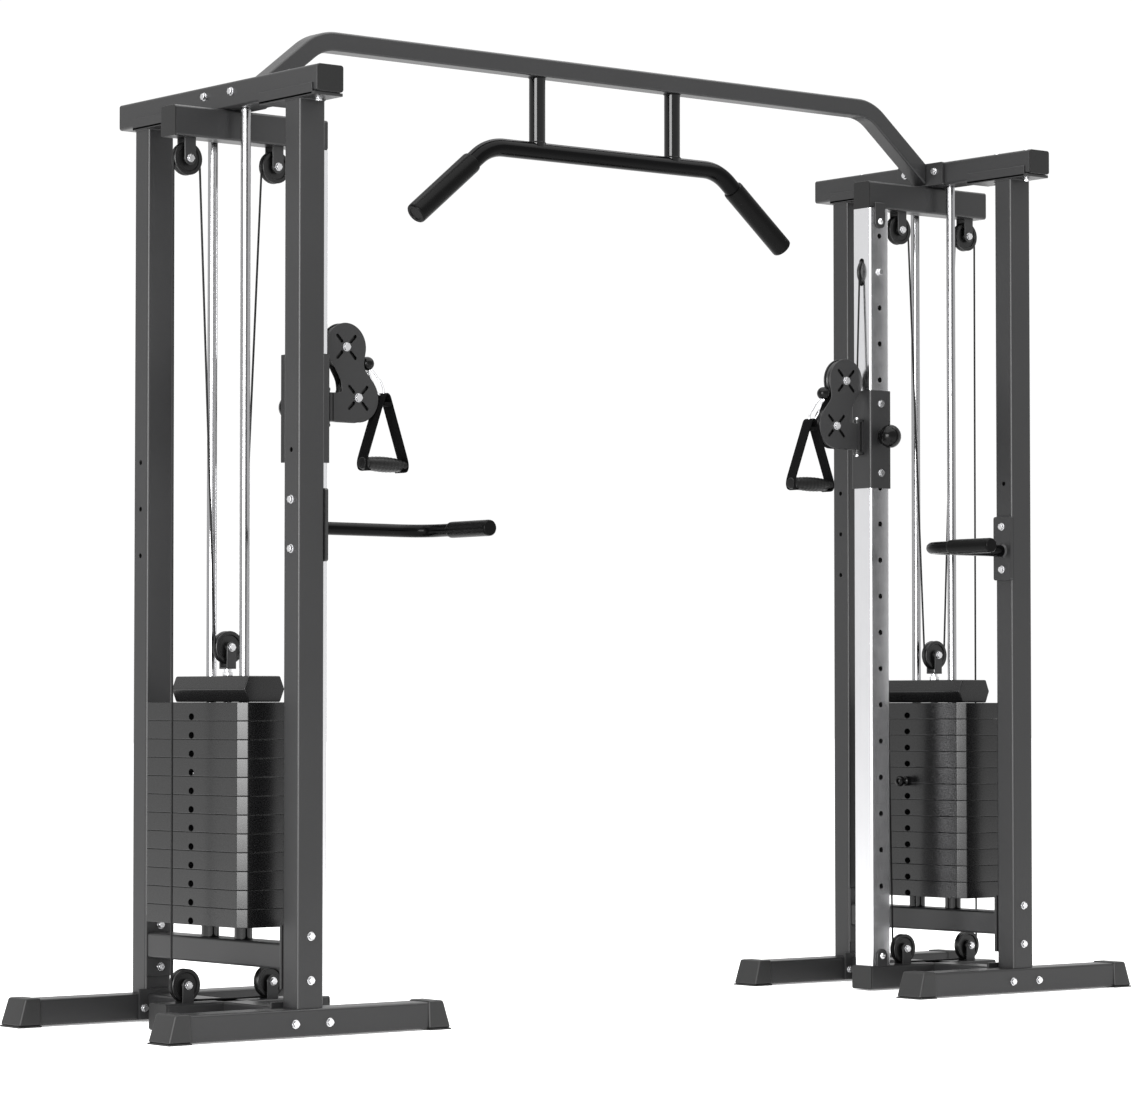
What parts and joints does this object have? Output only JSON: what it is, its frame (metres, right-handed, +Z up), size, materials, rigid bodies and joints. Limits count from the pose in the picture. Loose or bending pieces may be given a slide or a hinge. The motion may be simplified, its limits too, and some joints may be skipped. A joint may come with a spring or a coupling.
{
  "type": "cable crossover machine",
  "caption": "Two-tower gym cable crossover with weight stacks, height-adjustable swivel pulleys, dip handles and a raised cross tube carrying a pull-up bar",
  "frame": {"origin": "centre of the footprint, on the floor", "axes": "+X towards the right tower, -Y to the front where the dip handles point, +Z up"},
  "size_m": [2.976, 0.97, 2.3],
  "materials": {
    "paint": "satin charcoal powder coat",
    "chrome": "polished",
    "plate": "semi-gloss black enamel",
    "pulley": "moulded black nylon",
    "gloss_black": "smooth moulded",
    "cable": "coated wire rope",
    "webbing": "woven nylon webbing"
  },
  "bodies": {
    "frame": {"left_front_post": "paint", "left_rear_post": "paint", "left_front_foot": "paint", "left_rear_foot": "paint", "left_base_frame": "paint", "left_lower_crossbeam": "paint", "left_top_beam": "paint", "left_pulley_beam": "paint", "left_guide_rod_front": "chrome", "left_guide_rod_rear": "chrome", "left_column": "chrome", "left_dip_handle": "paint", "left_resting_plates": "plate", "left_cable": "cable", "right_front_post": "paint", "right_rear_post": "paint", "right_front_foot": "paint", "right_rear_foot": "paint", "right_base_frame": "paint", "right_lower_crossbeam": "paint", "right_top_beam": "paint", "right_pulley_beam": "paint", "right_guide_rod_front": "chrome", "right_guide_rod_rear": "chrome", "right_column": "chrome", "right_dip_handle": "paint", "right_resting_plates": "plate", "right_cable": "cable", "crossover_tube": "paint", "pull_up_bar": "paint"},
    "left_stack": {"left_stack_head": "paint", "left_lifted_plates": "plate"},
    "left_pin": {"left_selector_pin": "gloss_black"},
    "left_carriage_body": {"left_carriage": "paint"},
    "left_plunger": {"left_pull_pin": "gloss_black"},
    "left_block": {"left_swivel_block": "paint"},
    "left_hand_loop": {"left_handle": "webbing"},
    "left_block_pulley_upper_wheel": {"left_block_pulley_upper": "pulley"},
    "left_block_pulley_lower_wheel": {"left_block_pulley_lower": "pulley"},
    "left_top_pulley_inner_wheel": {"left_top_pulley_inner": "pulley"},
    "left_top_pulley_outer_wheel": {"left_top_pulley_outer": "pulley"},
    "left_column_pulley_wheel": {"left_column_pulley": "pulley"},
    "left_base_pulley_inner_wheel": {"left_base_pulley_inner": "pulley"},
    "left_base_pulley_outer_wheel": {"left_base_pulley_outer": "pulley"},
    "left_stack_pulley_wheel": {"left_stack_pulley": "pulley"},
    "right_stack": {"right_stack_head": "paint", "right_lifted_plates": "plate"},
    "right_pin": {"right_selector_pin": "gloss_black"},
    "right_carriage_body": {"right_carriage": "paint"},
    "right_plunger": {"right_pull_pin": "gloss_black"},
    "right_block": {"right_swivel_block": "paint"},
    "right_hand_loop": {"right_handle": "webbing"},
    "right_block_pulley_upper_wheel": {"right_block_pulley_upper": "pulley"},
    "right_block_pulley_lower_wheel": {"right_block_pulley_lower": "pulley"},
    "right_top_pulley_inner_wheel": {"right_top_pulley_inner": "pulley"},
    "right_top_pulley_outer_wheel": {"right_top_pulley_outer": "pulley"},
    "right_column_pulley_wheel": {"right_column_pulley": "pulley"},
    "right_base_pulley_inner_wheel": {"right_base_pulley_inner": "pulley"},
    "right_base_pulley_outer_wheel": {"right_base_pulley_outer": "pulley"},
    "right_stack_pulley_wheel": {"right_stack_pulley": "pulley"}
  },
  "joints": [
    {"name": "left_stack_lift", "type": "slide", "parent": "frame", "child": "left_stack", "axis": [0, 0, 1], "range_m": [0, 0.7], "deforming": ["left_cable"]},
    {"name": "left_selector_pull", "type": "slide", "parent": "left_stack", "child": "left_pin", "axis": [1, 0, 0], "range_m": [0, 0.019]},
    {"name": "left_carriage_height", "type": "slide", "parent": "frame", "child": "left_carriage_body", "axis": [0, 0, 1], "range_m": [-1.1, 0.17]},
    {"name": "left_plunger_pull", "type": "slide", "parent": "left_carriage_body", "child": "left_plunger", "axis": [0, 1, 0], "range_m": [0, 0.012], "stiffness_N_per_m": 600},
    {"name": "left_block_swivel", "type": "hinge", "parent": "left_carriage_body", "child": "left_block", "pos_m": [-0.838, 0.066, 1.4495], "axis": [0, 0, 1], "range_deg": [-80, 80]},
    {"name": "left_handle_swing", "type": "hinge", "parent": "left_block", "child": "left_hand_loop", "pos_m": [-0.7205, 0.066, 1.532], "axis": [0, -1, 0], "range_deg": [0, 60]},
    {"name": "left_block_pulley_upper_spin", "type": "hinge", "parent": "left_block", "child": "left_block_pulley_upper_wheel", "pos_m": [-0.789, 0.066, 1.567], "axis": [0, 1, 0], "continuous": true},
    {"name": "left_block_pulley_lower_spin", "type": "hinge", "parent": "left_block", "child": "left_block_pulley_lower_wheel", "pos_m": [-0.755, 0.066, 1.4495], "axis": [0, 1, 0], "continuous": true},
    {"name": "left_column_pulley_spin", "type": "hinge", "parent": "frame", "child": "left_column_pulley_wheel", "pos_m": [-0.888, 0.066, 1.8531], "axis": [0, 1, 0], "continuous": true},
    {"name": "left_top_pulley_inner_spin", "type": "hinge", "parent": "frame", "child": "left_top_pulley_inner_wheel", "pos_m": [-0.9855, 0.066, 1.9715], "axis": [0, 1, 0], "continuous": true},
    {"name": "left_top_pulley_outer_spin", "type": "hinge", "parent": "frame", "child": "left_top_pulley_outer_wheel", "pos_m": [-1.2264, 0.066, 1.9715], "axis": [0, 1, 0], "continuous": true},
    {"name": "left_base_pulley_inner_spin", "type": "hinge", "parent": "frame", "child": "left_base_pulley_inner_wheel", "pos_m": [-0.9938, 0.066, 0.1017], "axis": [0, 1, 0], "continuous": true},
    {"name": "left_base_pulley_outer_spin", "type": "hinge", "parent": "frame", "child": "left_base_pulley_outer_wheel", "pos_m": [-1.224, 0.066, 0.1017], "axis": [0, 1, 0], "continuous": true},
    {"name": "left_stack_pulley_spin", "type": "hinge", "parent": "left_stack", "child": "left_stack_pulley_wheel", "pos_m": [-1.11, 0.066, 0.8635], "axis": [0, 1, 0], "continuous": true},
    {"name": "right_stack_lift", "type": "slide", "parent": "frame", "child": "right_stack", "axis": [0, 0, 1], "range_m": [0, 0.7], "deforming": ["right_cable"]},
    {"name": "right_selector_pull", "type": "slide", "parent": "right_stack", "child": "right_pin", "axis": [-1, 0, 0], "range_m": [0, 0.019]},
    {"name": "right_carriage_height", "type": "slide", "parent": "frame", "child": "right_carriage_body", "axis": [0, 0, 1], "range_m": [-1.1, 0.17]},
    {"name": "right_plunger_pull", "type": "slide", "parent": "right_carriage_body", "child": "right_plunger", "axis": [0, -1, 0], "range_m": [0, 0.012], "stiffness_N_per_m": 600},
    {"name": "right_block_swivel", "type": "hinge", "parent": "right_carriage_body", "child": "right_block", "pos_m": [0.838, 0.066, 1.4495], "axis": [0, 0, 1], "range_deg": [-80, 80]},
    {"name": "right_handle_swing", "type": "hinge", "parent": "right_block", "child": "right_hand_loop", "pos_m": [0.7205, 0.066, 1.532], "axis": [0, 1, 0], "range_deg": [0, 60]},
    {"name": "right_block_pulley_upper_spin", "type": "hinge", "parent": "right_block", "child": "right_block_pulley_upper_wheel", "pos_m": [0.789, 0.066, 1.567], "axis": [0, 1, 0], "continuous": true},
    {"name": "right_block_pulley_lower_spin", "type": "hinge", "parent": "right_block", "child": "right_block_pulley_lower_wheel", "pos_m": [0.755, 0.066, 1.4495], "axis": [0, 1, 0], "continuous": true},
    {"name": "right_column_pulley_spin", "type": "hinge", "parent": "frame", "child": "right_column_pulley_wheel", "pos_m": [0.888, 0.066, 1.8531], "axis": [0, 1, 0], "continuous": true},
    {"name": "right_top_pulley_inner_spin", "type": "hinge", "parent": "frame", "child": "right_top_pulley_inner_wheel", "pos_m": [0.9855, 0.066, 1.9715], "axis": [0, 1, 0], "continuous": true},
    {"name": "right_top_pulley_outer_spin", "type": "hinge", "parent": "frame", "child": "right_top_pulley_outer_wheel", "pos_m": [1.2264, 0.066, 1.9715], "axis": [0, 1, 0], "continuous": true},
    {"name": "right_base_pulley_inner_spin", "type": "hinge", "parent": "frame", "child": "right_base_pulley_inner_wheel", "pos_m": [0.9938, 0.066, 0.1017], "axis": [0, 1, 0], "continuous": true},
    {"name": "right_base_pulley_outer_spin", "type": "hinge", "parent": "frame", "child": "right_base_pulley_outer_wheel", "pos_m": [1.224, 0.066, 0.1017], "axis": [0, 1, 0], "continuous": true},
    {"name": "right_stack_pulley_spin", "type": "hinge", "parent": "right_stack", "child": "right_stack_pulley_wheel", "pos_m": [1.11, 0.066, 0.8635], "axis": [0, 1, 0], "continuous": true}
  ],
  "couplings": [
    {"joint": "left_stack_pulley_spin", "follows": "left_stack_lift", "rad_per_m": -28.409},
    {"joint": "left_top_pulley_inner_spin", "follows": "left_stack_lift", "rad_per_m": 56.818},
    {"joint": "left_column_pulley_spin", "follows": "left_stack_lift", "rad_per_m": 50},
    {"joint": "left_block_pulley_upper_spin", "follows": "left_stack_lift", "rad_per_m": -40.816},
    {"joint": "left_base_pulley_inner_spin", "follows": "left_carriage_height", "rad_per_m": -28.409},
    {"joint": "left_base_pulley_outer_spin", "follows": "left_carriage_height", "rad_per_m": -28.409},
    {"joint": "left_top_pulley_outer_spin", "follows": "left_carriage_height", "rad_per_m": -28.409},
    {"joint": "right_stack_pulley_spin", "follows": "right_stack_lift", "rad_per_m": 28.409},
    {"joint": "right_top_pulley_inner_spin", "follows": "right_stack_lift", "rad_per_m": -56.818},
    {"joint": "right_column_pulley_spin", "follows": "right_stack_lift", "rad_per_m": -50},
    {"joint": "right_block_pulley_upper_spin", "follows": "right_stack_lift", "rad_per_m": 40.816},
    {"joint": "right_base_pulley_inner_spin", "follows": "right_carriage_height", "rad_per_m": 28.409},
    {"joint": "right_base_pulley_outer_spin", "follows": "right_carriage_height", "rad_per_m": 28.409},
    {"joint": "right_top_pulley_outer_spin", "follows": "right_carriage_height", "rad_per_m": 28.409}
  ]
}
